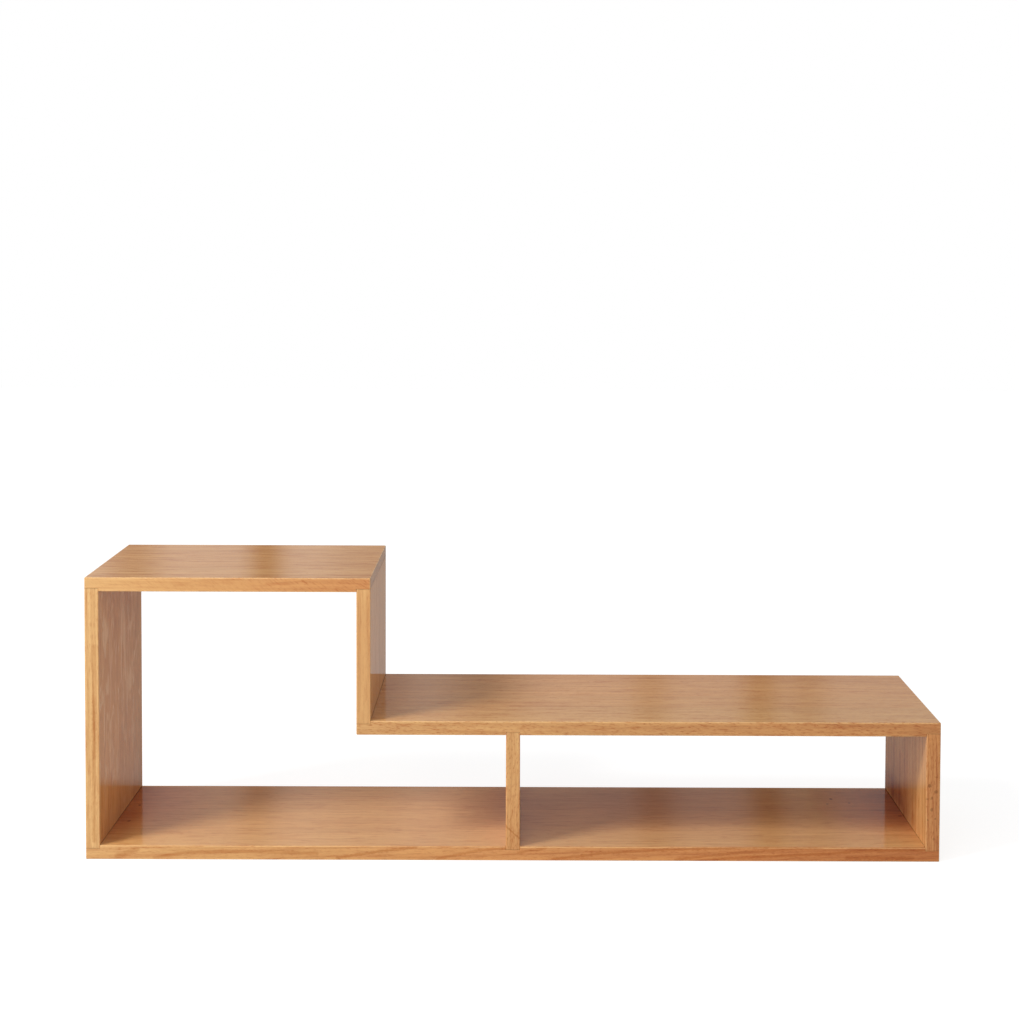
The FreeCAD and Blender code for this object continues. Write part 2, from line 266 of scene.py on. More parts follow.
def settle(piece):
    """Turns a piece with live modifiers into a plain mesh."""
    graph = bpy.context.evaluated_depsgraph_get()
    finished = bpy.data.meshes.new_from_object(
        piece.evaluated_get(graph), preserve_all_data_layers=True, depsgraph=graph
    )
    piece.modifiers.clear()
    piece.data = finished


# Boards from staves

SEAMS = ["Seam %d" % number for number in range(1, STAVES)]
PALENESS = ["Paleness %d" % number for number in range(1, STAVES + 1)]
REDNESS = ["Redness %d" % number for number in range(1, STAVES + 1)]
SQUARE_ON = 0.999
# How far the staves of a board differ: in the slope of their rings, and in metres in the tree.
LEAN_SPREAD = 0.008
ALONG_SPREAD = 5.0
SIDE_SPREAD = 0.12
THROUGH_SPREAD = 0.09
SEED_STEP = 100.0


def board_blank_tree():
    """Four staves glued side by side: the front outline carried back from seam to seam, arrises marked."""
    inputs = {"Geometry": "Geometry", **{seam: "Float" for seam in SEAMS}}
    inputs.update({"Low": "Vector", "High": "Vector", "End Weight": "Float", "Finish": "Material"})
    tree, inlet, outlet = new_group("board_blank", "GeometryNodeTree", inputs, {"Geometry": "Geometry"})
    low, high = parts_of(tree, inlet["Low"]), parts_of(tree, inlet["High"])
    lines = [low[1]] + [inlet[seam] for seam in SEAMS] + [high[1]]
    grown, back_face = inlet["Geometry"], True
    for stave in range(STAVES):
        width = reckon(tree, "SUBTRACT", lines[stave + 1], lines[stave])
        step = node(
            tree, "GeometryNodeExtrudeMesh",
            {"Mesh": grown, "Selection": back_face, "Offset": whole_of(tree, 0.0, width, 0.0),
             "Offset Scale": 1.0, "Individual": False},
            mode="FACES",
        )
        grown, back_face = step.outputs["Mesh"], step.outputs["Top"]
    front = node(tree, "GeometryNodeFlipFaces", {"Mesh": inlet["Geometry"]}).outputs[0]
    joined = node(tree, "GeometryNodeJoinGeometry")
    for piece in (front, grown):
        tree.links.new(piece, joined.inputs[0])
    closed = node(tree, "GeometryNodeMergeByDistance", {"Geometry": joined.outputs[0], "Distance": NEAR})
    place = parts_of(tree, node(tree, "GeometryNodeInputPosition").outputs[0])
    on_face = []
    for axis in range(3):
        at_low = reckon(tree, "COMPARE", place[axis], low[axis], NEAR)
        at_high = reckon(tree, "COMPARE", place[axis], high[axis], NEAR)
        on_face.append(reckon(tree, "MAXIMUM", at_low, at_high))
    faces_met = reckon(tree, "ADD", reckon(tree, "ADD", on_face[0], on_face[1]), on_face[2])
    is_arris = reckon(tree, "GREATER_THAN", faces_met, ARRIS_FACES - 0.5)
    shrink = reckon(tree, "MULTIPLY", on_face[2], reckon(tree, "SUBTRACT", 1.0, inlet["End Weight"]))
    weight = reckon(tree, "MULTIPLY", is_arris, reckon(tree, "SUBTRACT", 1.0, shrink))
    marked = keep_attribute(tree, closed.outputs[0], "bevel_weight_edge", "FLOAT", "EDGE", weight)
    give_out(tree, marked, inlet["Finish"], outlet)
    return tree


def screw_hole_tree():
    """Sinks a pair of round holes into the underside of a board."""
    inputs = {"Geometry": "Geometry", "First": "Vector", "Last": "Vector"}
    inputs.update({"Radius": "Float", "Finish": "Material"})
    tree, inlet, outlet = new_group("screw_holes", "GeometryNodeTree", inputs, {"Geometry": "Geometry"})
    pair = node(
        tree, "GeometryNodeMeshLine",
        {"Count": 2, "Start Location": inlet["First"], "Offset": inlet["Last"]},
        mode="END_POINTS",
    )
    drill = node(
        tree, "GeometryNodeMeshCylinder",
        {"Vertices": SCREW_HOLE_SIDES, "Radius": inlet["Radius"], "Depth": 2.0 * SCREW_SINK},
    )
    drills = node(
        tree, "GeometryNodeInstanceOnPoints",
        {"Points": pair.outputs[0], "Instance": drill.outputs[0]},
    )
    drills = node(tree, "GeometryNodeRealizeInstances", {0: drills.outputs[0]})
    bored = node(
        tree, "GeometryNodeMeshBoolean",
        {0: inlet["Geometry"], 1: drills.outputs[0]},
        operation="DIFFERENCE",
    )
    give_out(tree, bored.outputs[0], inlet["Finish"], outlet)
    return tree


def stave_grain_tree():
    """Gives each stave its own place in the tree it was sawn from, and its own colour."""
    inputs = {"Geometry": "Geometry", **{label: "Float" for label in SEAMS + PALENESS + REDNESS}}
    inputs.update({"Along": "Vector", "Through": "Vector"})
    inputs.update({"Lean": "Float", "Seed": "Int", "Finish": "Material"})
    tree, inlet, outlet = new_group("stave_grain", "GeometryNodeTree", inputs, {"Geometry": "Geometry"})
    position = node(tree, "GeometryNodeInputPosition").outputs[0]
    side = parts_of(tree, position)[1]
    middle = node(tree, "GeometryNodeFieldOnDomain", {0: side}, domain="FACE").outputs[0]
    past = [reckon(tree, "GREATER_THAN", middle, inlet[seam]) for seam in SEAMS]

    def by_stave(values):
        """The value of the list that belongs to the stave."""
        chosen = values[0]
        for flag, value in zip(past, values[1:]):
            chosen = between(tree, flag, chosen, value)
        return chosen

    stave = by_stave([float(number) for number in range(STAVES)])

    def drawn(spread, number):
        """A random number for each stave, within the spread either way."""
        seed = reckon(tree, "ADD", inlet["Seed"], SEED_STEP * number)
        made = node(
            tree, "FunctionNodeRandomValue",
            {2: -spread, 3: spread, "ID": stave, "Seed": seed},
            data_type="FLOAT",
        )
        return made.outputs[1]

    edges = [-FAR] + [inlet[seam] for seam in SEAMS] + [FAR]
    near_edge, far_edge = by_stave(edges[:-1]), by_stave(edges[1:])
    along = vector_sum(tree, "DOT_PRODUCT", position, inlet["Along"])
    through = vector_sum(tree, "DOT_PRODUCT", position, inlet["Through"])
    lean = reckon(tree, "MULTIPLY", along, reckon(tree, "ADD", inlet["Lean"], drawn(LEAN_SPREAD, 1)))
    place = whole_of(
        tree,
        reckon(tree, "ADD", along, drawn(ALONG_SPREAD, 2)),
        reckon(tree, "ADD", side, drawn(SIDE_SPREAD, 3)),
        reckon(tree, "ADD", reckon(tree, "ADD", through, lean), drawn(THROUGH_SPREAD, 4)),
    )
    from_near = reckon(tree, "SUBTRACT", side, near_edge)
    from_far = reckon(tree, "SUBTRACT", far_edge, side)
    seams = whole_of(tree, from_near, from_far, 0.0)
    kept = keep_attribute(tree, inlet["Geometry"], "grain_place", "FLOAT_VECTOR", "CORNER", place)
    kept = keep_attribute(tree, kept, "seam_distance", "FLOAT_VECTOR", "CORNER", seams)
    for name, labels in (("stave_paleness", PALENESS), ("stave_redness", REDNESS)):
        kept = keep_attribute(tree, kept, name, "FLOAT", "FACE", by_stave([inlet[label] for label in labels]))
    lie = parts_of(tree, vector_sum(tree, "ABSOLUTE", node(tree, "GeometryNodeInputNormal").outputs[0]))
    squarest = reckon(tree, "MAXIMUM", reckon(tree, "MAXIMUM", lie[0], lie[1]), lie[2])
    on_arris = reckon(tree, "LESS_THAN", squarest, SQUARE_ON)
    kept = keep_attribute(tree, kept, "on_arris", "FLOAT", "FACE", on_arris)
    give_out(tree, kept, inlet["Finish"], outlet)
    return tree


def skyline(start, end, face, housings):
    """A long edge of a board seen from the front, stepped at its housings."""
    levels, reached = [], start
    for left, right, floor in sorted(housings):
        if left > reached + NEAR:
            levels.append((reached, left, face))
        levels.append((left, right, floor))
        reached = right
    if end > reached + NEAR:
        levels.append((reached, end, face))
    return [(x, level) for left, right, level in levels for x in (left, right)]


def let_in(board, panel):
    """Where a standing panel reaches into a flat board: left, right, depth and the face it leaves by."""
    low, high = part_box(board)
    foot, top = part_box(panel)
    left, right = max(foot.x - GLUE_GAP, low.x), min(top.x + GLUE_GAP, high.x)
    if right - left < NEAR:
        return None
    if low.z < foot.z < high.z:
        return left, right, foot.z, high.z
    if low.z < top.z < high.z:
        return left, right, top.z, low.z
    return None


def front_outline(name):
    """The board seen from the front, with a housing wherever a panel is let into it."""
    low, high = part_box(name)
    housings = {low.z: [], high.z: []}
    for panel, timber in BOARDS.items():
        joint = let_in(name, panel) if timber["standing"] and panel != name else None
        if joint:
            housings[joint[3]].append(joint[:3])
    lower = skyline(low.x, high.x, low.z, housings[low.z])
    upper = skyline(low.x, high.x, high.z, housings[high.z])
    return upper + lower[::-1]


def screw_pairs(board):
    """Where a pair of screws is let into the underside of a board, with the radius of the hole."""
    low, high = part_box(board)
    pairs = []
    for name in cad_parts:
        foot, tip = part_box(name)
        if name.startswith("screws_") and low.z < foot.z < high.z:
            radius = (tip.x - foot.x) / 2
            first = Vector((foot.x + radius, foot.y + radius, low.z))
            last = Vector((tip.x - radius, tip.y - radius, low.z))
            pairs.append({"First": first, "Last": last, "Radius": radius + GLUE_GAP})
    return pairs


def make_board(name, timber, blank, holes, grain, finish):
    """One board: outline, staves, eased arrises, grain; then a plain mesh in place of the CAD board."""
    low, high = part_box(name)
    corners = [(x, low.y, z) for x, z in front_outline(name)]
    mesh = bpy.data.meshes.new(name + "_outline")
    mesh.from_pydata(corners, [], [range(len(corners))])
    piece = bpy.data.objects.new("beech_" + name, mesh)
    bpy.context.scene.collection.objects.link(piece)
    lines = {label: low.y + seam * MM for label, seam in zip(SEAMS, timber["seams"])}
    end_weight = PANEL_END_CHAMFER / ARRIS if timber["standing"] else 1.0
    apply_tree(piece, blank, {**lines, "Low": low, "High": high, "End Weight": end_weight, "Finish": finish})
    bevel = piece.modifiers.new("arris", "BEVEL")
    bevel.limit_method = "WEIGHT"
    bevel.width = ARRIS
    bevel.segments = ARRIS_STEPS
    bevel.harden_normals = True
    for pair in screw_pairs(name):
        apply_tree(piece, holes, {**pair, "Finish": finish})
    flat, upright = Vector((1, 0, 0)), Vector((0, 0, 1))
    apply_tree(piece, grain, {
        **lines,
        **dict(zip(PALENESS, timber["paleness"])),
        **dict(zip(REDNESS, timber["redness"])),
        "Along": upright if timber["standing"] else flat,
        "Through": flat if timber["standing"] else upright,
        "Lean": timber["lean"], "Seed": timber["seed"], "Finish": finish,
    })
    settle(piece)
    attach(piece, "root")
    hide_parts(name)


# Finishes

# Waves of noise to the metre along, across and through the grain,
# or along and outwards from the pith for bands and rings.
BENDS = (
    ((1.8, 10.0, 10.0), 12.0 * MM),
    ((6.0, 14.0, 14.0), 5.0 * MM),
    ((14.0, 90.0, 90.0), 1.6 * MM),
)
BAND_WAVES = (0.9, 160.0, 1.0)
RING_WAVES = (0.6, 70.0, 1.0)
BROAD_WAVES = (2.2, 42.0, 42.0)
STREAK_WAVES = (7.0, 150.0, 150.0)
FIBRE_WAVES = (24.0, 700.0, 700.0)
CLOUD_WAVES = (15.0, 40.0, 40.0)
RAGGED_WAVES = (320.0, 320.0, 320.0)
MOTTLE_WAVES = (400.0, 400.0, 400.0)
RING_WIDTH = 4.4 * MM
RING_UNEVENNESS = 10.0 * MM
LATE_WOOD = (0.35, 0.92)
RAGGED_REACH = 3.0 * MM
# Dark dashes in the wood: what sets their strength, their waves and their depth.
DASHES = (
    ("Grain", (16.0, 120.0, 330.0), 0.25),
    ("Grain", (40.0, 260.0, 500.0), 0.35),
    ("Fleck", (95.0, 420.0, 760.0), 0.50),
    ("Fleck", (200.0, 700.0, 1100.0), 0.85),
)
DASH_ONSET = (0.54, 0.68)
CLOUD_ONSET = (0.48, 0.66)
# How far each kind of grain swings the paleness.
BAND_SWING = 1.2
BROAD_SWING = 0.30
STREAK_SWING = 0.42
FIBRE_SWING = 0.34

DARKEST_BEECH = (0.320, 0.125, 0.034, 1.0)
MIDDLE_BEECH = {
    0.35: (0.520, 0.240, 0.077, 1.0),
    0.60: (0.640, 0.325, 0.115, 1.0),
    0.80: (0.740, 0.402, 0.146, 1.0),
}
PALEST_BEECH = (0.840, 0.490, 0.192, 1.0)
REDDENING = (0.03, -0.14, -0.26)
DASH_BROWN = (0.70, 0.46, 0.30, 1.0)
STREAK_AND_SHADE_BROWN = (0.64, 0.38, 0.20, 1.0)
SEAM_BROWN = (0.30, 0.12, 0.04, 1.0)
KNOT_BROWN = (0.16, 0.045, 0.012, 1.0)
JOINT_BROWN = (0.05, 0.016, 0.005, 1.0)
PAINTED_SHEEN_PALE = (0.92, 0.61, 0.33, 1.0)
PAINTED_REFLECTION_PALE = (0.8, 0.8, 0.8, 1.0)

# Where the look of a front edge eases into that of the faces, and where the inner face begins,
# as a share of the thickness; the painted shade of tone and warmth and the painted sheen of cloud keep clear
# of its ends and back.
FRONT_EDGE = (1.0 * MM, 4.0 * MM)
INNER_PART = (0.40, 0.87)
CLEAR_OF_ENDS = (2.0 * MM, 12.0 * MM)
CLEAR_OF_BACK = (2.0 * MM, 8.0 * MM)
# The painted shade grows over this distance back from the front of the inner face.
PAINTED_SHADE_REACH = (10.0 * MM, 120.0 * MM)
# A pale haze on the front edge, a painted reflection of the white surroundings.
EDGE_PAINTED_REFLECTION = 0.035
# Arrises are paler: edge wear, with a painted highlight along them.
ARRIS_WEAR_AND_HIGHLIGHT = 0.30
WORN_LIKE_FACE = 0.8
SEAM_WIDTH = (0.1 * MM, 0.4 * MM)
SEAM_STRENGTH = 0.30
STREAK_CORE = 0.2
KNOT_CORE = 0.4
# Joint lines: strength outside and inside, strength left at the front, and where they ease.
JOINT_LINE = (0.60, 0.90)
JOINT_FRONT = 0.50
JOINT_FADE = 10.0 * MM
JOINT_ENTRY = (0.8 * MM, 2.0 * MM)
JOINT_WIDTH = (0.4 * MM, 1.2 * MM)
LACQUER = 0.48
LACQUER_ROUGHNESS = 0.10
WOOD_ROUGHNESS = (0.3, 0.7, 0.44, 0.56)
FIBRE_RELIEF = 0.1 * MM
FIBRE_RELIEF_STRENGTH = 0.15
MOTTLE_SHADE = 0.8
FASTENERS = {
    "screws_": dict(name="zinc_plated_steel", colour=(0.62, 0.62, 0.60), metallic=1.0, roughness=0.35),
    "dowels_": dict(name="dowel_beech", colour=(0.70, 0.48, 0.28), metallic=0.0, roughness=0.7),
}


def mixed(tree, factor, first, second, blend="MIX"):
    """A colour mixed from two."""
    made = node(tree, "ShaderNodeMix", {0: factor, 6: first, 7: second}, data_type="RGBA", blend_type=blend)
    return made.outputs[2]


def attribute(tree, name, output):
    """An attribute that the board carries."""
    return node(tree, "ShaderNodeAttribute", attribute_name=name).outputs[output]


def object_place(tree):
    """The place on the piece itself."""
    return node(tree, "ShaderNodeTexCoord").outputs["Object"]


def new_finish(name):
    """A new material, its node tree and its shader."""
    material = bpy.data.materials.new(name)
    material.use_nodes = True
    return material, material.node_tree, material.node_tree.nodes["Principled BSDF"]


def stretched_noise(tree, place, waves, detail=2.0, distortion=0.0):
    """Noise with its own number of waves to the metre along, across and through the grain."""
    scaled = vector_sum(tree, "MULTIPLY", place, waves)
    return node(
        tree, "ShaderNodeTexNoise",
        {"Vector": scaled, "Scale": 1.0, "Detail": detail, "Distortion": distortion},
    )


def wander(tree, place, waves, reach):
    """Shifts the place sideways to the grain by a slow noise."""
    noise = stretched_noise(tree, place, waves).outputs["Color"]
    centred = vector_sum(tree, "SUBTRACT", noise, (0.5, 0.5, 0.5))
    return vector_sum(tree, "ADD", place, vector_sum(tree, "MULTIPLY", centred, (0.0, reach, reach)))


def beech_group():
    """Beech: growth rings about the pith, streaks, fibres, short dark ray flecks, and pale cloudy patches of
    figure painted in the colour as an uneven sheen.
    """
    tree, inlet, outlet = new_group(
        "beech", "ShaderNodeTree",
        {"Place": "Vector", "Paleness": "Float", "Redness": "Float", "Figure": "Float", "Grain": "Float",
         "Fleck": "Float", "Slant": "Float", "Painted Sheen": "Float"},
        {"Colour": "Color", "Fibre": "Float"},
    )
    bent = inlet["Place"]
    for waves, reach in BENDS:
        bent = wander(tree, bent, waves, reach)
    run = parts_of(tree, bent)
    radius = vector_sum(tree, "LENGTH", whole_of(tree, 0.0, run[1], run[2]))
    by_radius = whole_of(tree, run[0], radius, 0.0)
    bands = stretched_noise(tree, by_radius, BAND_WAVES, detail=3.0).outputs[0]
    uneven = stretched_noise(tree, by_radius, RING_WAVES).outputs[0]
    grown = reckon(tree, "MULTIPLY_ADD", uneven, RING_UNEVENNESS, radius)
    rings = reckon(tree, "FRACT", reckon(tree, "DIVIDE", grown, RING_WIDTH))
    falling = ramped(tree, rings, LATE_WOOD[1], 1.0, 1.0, 0.0)
    late = reckon(tree, "MULTIPLY", ramped(tree, rings, *LATE_WOOD), falling)
    broad = stretched_noise(tree, bent, BROAD_WAVES).outputs[0]
    streaks = stretched_noise(tree, bent, STREAK_WAVES, detail=3.0).outputs[0]
    fibres = stretched_noise(tree, bent, FIBRE_WAVES).outputs[0]

    slope = reckon(tree, "MULTIPLY", run[0], inlet["Slant"])
    leaning = whole_of(tree, run[0], run[1], reckon(tree, "SUBTRACT", run[2], slope))
    dash_place = {"Grain": bent, "Fleck": leaning}
    stain = reckon(tree, "MULTIPLY", late, inlet["Figure"])
    for strength, waves, depth in DASHES:
        noise = stretched_noise(tree, dash_place[strength], waves).outputs[0]
        dashes = ramped(tree, noise, *DASH_ONSET, 0.0, depth)
        stain = reckon(tree, "MULTIPLY_ADD", dashes, inlet[strength], stain)

    shade = inlet["Paleness"]
    for part, swing, strength in (
        (bands, BAND_SWING, "Figure"), (broad, BROAD_SWING, "Grain"),
        (streaks, STREAK_SWING, "Grain"), (fibres, FIBRE_SWING, "Grain"),
    ):
        swung = reckon(tree, "MULTIPLY", reckon(tree, "SUBTRACT", part, 0.5), swing)
        shade = reckon(tree, "MULTIPLY_ADD", swung, inlet[strength], shade)
    ramp = node(tree, "ShaderNodeValToRGB", {0: shade})
    stops = ramp.color_ramp.elements
    stops[0].color = DARKEST_BEECH
    stops[-1].color = PALEST_BEECH
    for position, colour in MIDDLE_BEECH.items():
        stops.new(position).color = colour
    red = whole_of(tree, *(inlet["Redness"],) * 3)
    red = vector_sum(tree, "MULTIPLY_ADD", red, REDDENING, (1.0, 1.0, 1.0))
    colour = vector_sum(tree, "MULTIPLY", ramp.outputs[0], red)
    # painted sheen: pale greyish patches of figure mixed into the colour
    painted_sheen = stretched_noise(tree, bent, CLOUD_WAVES, detail=4.0, distortion=2.0).outputs[0]
    patch = reckon(tree, "MULTIPLY", ramped(tree, painted_sheen, *CLOUD_ONSET), inlet["Painted Sheen"])
    colour = mixed(tree, patch, colour, PAINTED_SHEEN_PALE)
    feed(tree, outlet["Colour"], mixed(tree, stain, colour, DASH_BROWN, "MULTIPLY"))
    feed(tree, outlet["Fibre"], fibres)
    return tree


def within_streak(tree, place, points, width):
    """One in the middle of a streak that runs through the points, easing to nothing at its width."""
    away = FAR
    for start, end in zip(points, points[1:]):
        start, span = Vector(start) * MM, (Vector(end) - Vector(start)) * MM
        reach = vector_sum(tree, "SUBTRACT", place, start)
        share = reckon(tree, "DIVIDE", vector_sum(tree, "DOT_PRODUCT", reach, span), span.length_squared)
        share = reckon(tree, "MINIMUM", reckon(tree, "MAXIMUM", share, 0.0), 1.0)
        foot = vector_sum(tree, "MULTIPLY", whole_of(tree, share, share, share), span)
        away = reckon(tree, "MINIMUM", away, vector_sum(tree, "DISTANCE", reach, foot))
    return ramped(tree, away, STREAK_CORE * width * MM, width * MM, 1.0, 0.0)


def joint_lines(tree, spot, panel):
    """Dark lines where a panel enters a board; outside, they show fainter and at the end of the panel."""
    low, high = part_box(panel)
    fade = ramped(tree, spot[1], low.y + JOINT_FADE, high.y, JOINT_FRONT, 1.0)
    gap = 0.0
    for board, timber in BOARDS.items():
        joint = None if timber["standing"] else let_in(board, panel)
        if joint:
            from_front = reckon(tree, "SUBTRACT", spot[1], low.y)
            depth = reckon(tree, "MINIMUM", from_front, reckon(tree, "SUBTRACT", high.y, spot[1]))
            for side, end in zip((low.x, high.x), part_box(board)):
                if abs(side - end.x) < NEAR:
                    from_side = reckon(tree, "ABSOLUTE", reckon(tree, "SUBTRACT", spot[0], side))
                    depth = reckon(tree, "MINIMUM", depth, from_side)
            inside = ramped(tree, depth, *JOINT_ENTRY)
            level = between(tree, inside, *joint[2:])
            off = reckon(tree, "ABSOLUTE", reckon(tree, "SUBTRACT", spot[2], level))
            near = ramped(tree, off, *JOINT_WIDTH, 1.0, 0.0)
            line = reckon(tree, "MULTIPLY", near, between(tree, inside, *JOINT_LINE))
            gap = reckon(tree, "MAXIMUM", gap, reckon(tree, "MULTIPLY", line, fade))
    return gap


def timber_look(tree, spot, name, timber):
    """What the beech of one board looks like from place to place, with its painted shade and painted sheen,
    and how much pale haze lies on it as a painted reflection.
    """
    low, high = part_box(name)
    axis, through = (2, 0) if timber["standing"] else (0, 2)
    run = node(tree, "ShaderNodeMapRange", {0: spot[axis], 1: low[axis], 2: high[axis]}).outputs[0]
    at_front = ramped(tree, spot[1], *(low.y + depth for depth in FRONT_EDGE), 1.0, 0.0)
    from_low = reckon(tree, "SUBTRACT", spot[axis], low[axis])
    from_high = reckon(tree, "SUBTRACT", high[axis], spot[axis])
    from_ends = reckon(tree, "MINIMUM", from_low, from_high)
    from_back = reckon(tree, "SUBTRACT", high.y, spot[1])
    outside, inside = (high, low) if timber["faces_left"] else (low, high)
    inner = ramped(tree, spot[through], *(outside.lerp(inside, part)[through] for part in INNER_PART))
    inner = reckon(tree, "MULTIPLY", inner, ramped(tree, from_ends, *CLEAR_OF_ENDS))
    inner = reckon(tree, "MULTIPLY", inner, ramped(tree, from_back, *CLEAR_OF_BACK))
    # painted shade: grows from the front towards the back of the inner face, where the shelf and panels shade
    # it
    painted_shade_depth = reckon(tree, "MULTIPLY", inner, ramped(tree, spot[1], *(low.y + depth for depth in PAINTED_SHADE_REACH)))
    arris_mask = attribute(tree, "on_arris", "Fac")
    unworn = reckon(tree, "MULTIPLY_ADD", arris_mask, -WORN_LIKE_FACE, 1.0)
    edge = {"Paleness": at_front, "Redness": reckon(tree, "MULTIPLY", at_front, unworn)}
    look = {"Slant": timber["slant"], "Place": attribute(tree, "grain_place", "Vector")}
    # painted shade added to the paleness and redness of each stave
    for label, shift in (("Paleness", "painted_shade"), ("Redness", "painted_shade_warmth")):
        quality = label.lower()
        stave = attribute(tree, "stave_" + quality, "Fac")
        on_face = reckon(tree, "MULTIPLY_ADD", along_board(tree, run, timber[shift]), painted_shade_depth, stave)
        on_edge = along_board(tree, run, timber["edge_" + quality])
        look[label] = between(tree, edge[label], on_face, on_edge)
    # paler arrises: edge wear, and a painted highlight along them
    look["Paleness"] = reckon(tree, "MULTIPLY_ADD", arris_mask, ARRIS_WEAR_AND_HIGHLIGHT, look["Paleness"])
    look["Figure"] = between(tree, at_front, *timber["figure"])
    look["Grain"] = between(tree, at_front, *timber["grain"])
    look["Fleck"] = between(tree, at_front, timber["fleck"], along_board(tree, run, timber["edge_fleck"]))
    # painted sheen on the inner face
    painted_sheen = reckon(tree, "MULTIPLY", inner, along_board(tree, run, timber["painted_sheen"]))
    look["Painted Sheen"] = between(tree, at_front, painted_sheen, 0.0)
    # painted reflection: a pale haze in the colour for the white that the lacquer reflects, on the faces and
    # the front edge
    painted_reflection = between(tree, at_front, along_board(tree, run, timber["painted_reflection"]), EDGE_PAINTED_REFLECTION)
    return look, painted_reflection


def lacquered_beech(name, timber, beech):
    """The finish of one board: its own timber under a clear satin lacquer."""
    material, tree, shader = new_finish("beech_" + name)
    where = object_place(tree)
    spot = parts_of(tree, where)
    look, painted_reflection = timber_look(tree, spot, name, timber)
    wood = node(tree, "ShaderNodeGroup", node_tree=beech)
    for label, value in look.items():
        feed(tree, wood.inputs[label], value)
    # painted reflection: pale grey haze mixed into the colour
    colour = mixed(tree, painted_reflection, wood.outputs["Colour"], PAINTED_REFLECTION_PALE)

    seam = parts_of(tree, attribute(tree, "seam_distance", "Vector"))
    seam = ramped(tree, reckon(tree, "MINIMUM", seam[0], seam[1]), *SEAM_WIDTH, SEAM_STRENGTH, 0.0)
    colour = mixed(tree, seam, colour, SEAM_BROWN)
    ragged = stretched_noise(tree, where, RAGGED_WAVES, detail=3.0).outputs["Color"]
    ragged = vector_sum(tree, "MULTIPLY_ADD", ragged, (RAGGED_REACH,) * 3, (-RAGGED_REACH / 2,) * 3)
    ragged = vector_sum(tree, "ADD", where, ragged)
    # dark streaks, those at the feet of the side panels painted shade
    for points, width, strength in STREAKS_AND_FOOT_SHADE.get(name, ()):
        streak = reckon(tree, "MULTIPLY", within_streak(tree, ragged, points, width), strength)
        colour = mixed(tree, streak, colour, STREAK_AND_SHADE_BROWN, "MULTIPLY")
    for x, y, z, size, strength in KNOTS.get(name, ()):
        reach = vector_sum(tree, "DISTANCE", ragged, (x * MM, y * MM, z * MM))
        knot = ramped(tree, reach, KNOT_CORE * size * MM, size * MM, strength, 0.0)
        colour = mixed(tree, knot, colour, KNOT_BROWN)

    if timber["standing"]:
        gap = joint_lines(tree, spot, name)
        colour = mixed(tree, gap, colour, JOINT_BROWN)
        feed(tree, shader.inputs["Coat Weight"], between(tree, gap, LACQUER, 0.0))
    else:
        shader.inputs["Coat Weight"].default_value = LACQUER
    feed(tree, shader.inputs["Base Color"], colour)
    feed(tree, shader.inputs["Roughness"], ramped(tree, wood.outputs["Fibre"], *WOOD_ROUGHNESS))
    relief = node(
        tree, "ShaderNodeBump",
        {"Strength": FIBRE_RELIEF_STRENGTH, "Distance": FIBRE_RELIEF, "Height": wood.outputs["Fibre"]},
    )
    feed(tree, shader.inputs["Normal"], relief.outputs[0])
    shader.inputs["Specular IOR Level"].default_value = 0.0
    shader.inputs["Coat Roughness"].default_value = LACQUER_ROUGHNESS
    return material


def plain_finish(name, colour, metallic, roughness):
    """A finish of one colour, faintly mottled."""
    material, tree, shader = new_finish(name)
    mottle = stretched_noise(tree, object_place(tree), MOTTLE_WAVES, detail=3.0).outputs[0]
    darker = tuple(MOTTLE_SHADE * part for part in colour)
    feed(tree, shader.inputs["Base Color"], mixed(tree, mottle, (*darker, 1.0), (*colour, 1.0)))
    shader.inputs["Metallic"].default_value = metallic
    shader.inputs["Roughness"].default_value = roughness
    return material


def make_boards():
    """All seven boards, each with a finish of its own."""
    beech = beech_group()
    blank = board_blank_tree()
    holes = screw_hole_tree()
    grain = stave_grain_tree()
    for name, timber in BOARDS.items():
        make_board(name, timber, blank, holes, grain, lacquered_beech(name, timber, beech))


def finish_fasteners():
    """Screws and dowels keep their CAD shapes and get a finish."""
    for sort, finish in FASTENERS.items():
        material = plain_finish(**finish)
        for name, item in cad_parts.items():
            if name.startswith(sort):
                item.data.materials.clear()
                item.data.materials.append(material)


# Studio

FLOOR_SIZE = 12.0
FLOOR_LEVEL = -0.2 * MM
FLOOR_PALE = (0.8, 0.8, 0.8, 1.0)
FLOOR_SHADED = (0.4, 0.4, 0.4, 1.0)
WHITE = (1.0, 1.0, 1.0, 1.0)
# The floor's glow, as low, high, start and end: in the lacquer by the place behind the shelf, dim just behind
# it as a painted shadow, and to the camera by the distance from the middle.
FLOOR_PAINTED_SHADOW = (0.135, 0.185, 0.03, 0.33)
FLOOR_SEEN = (0.8, 2.2, 0.82, 0.86)
FILL_LIGHT = 0.39
# Gaps between the white panels of the wall behind, which the lacquer mirrors:
# bearing and half width in degrees, and how dark. High up they spread a little, fade on the left
# and deepen on the right, where a painted shadow of the shelf also darkens the wall; heights are those of the
# view's direction.
WALL_GAPS = (
    (-13.3, 0.75, 0.60), (-8.85, 0.5, 0.88), (-6.0, 0.7, 0.25), (-4.8, 0.8, 0.40), (-1.2, 1.2, 0.52),
    (4.5, 0.55, 0.50), (8.3, 0.55, 0.78), (9.9, 0.55, 0.50),
)
RIGHT_HALF = (0.0, 0.02)
GAP_SPREAD = (0.28, 0.33, 1.0, 1.05)
LEFT_GAPS = (0.305, 0.345, 1.0, 0.6)
RIGHT_GAPS = (0.28, 0.31, 1.0, 1.4)
UPPER_WALL = (0.285, 0.305)
UPPER_RIGHT_SHADE = 0.3
LAMP_AIM = Vector((0.0, 0.0, 0.12))
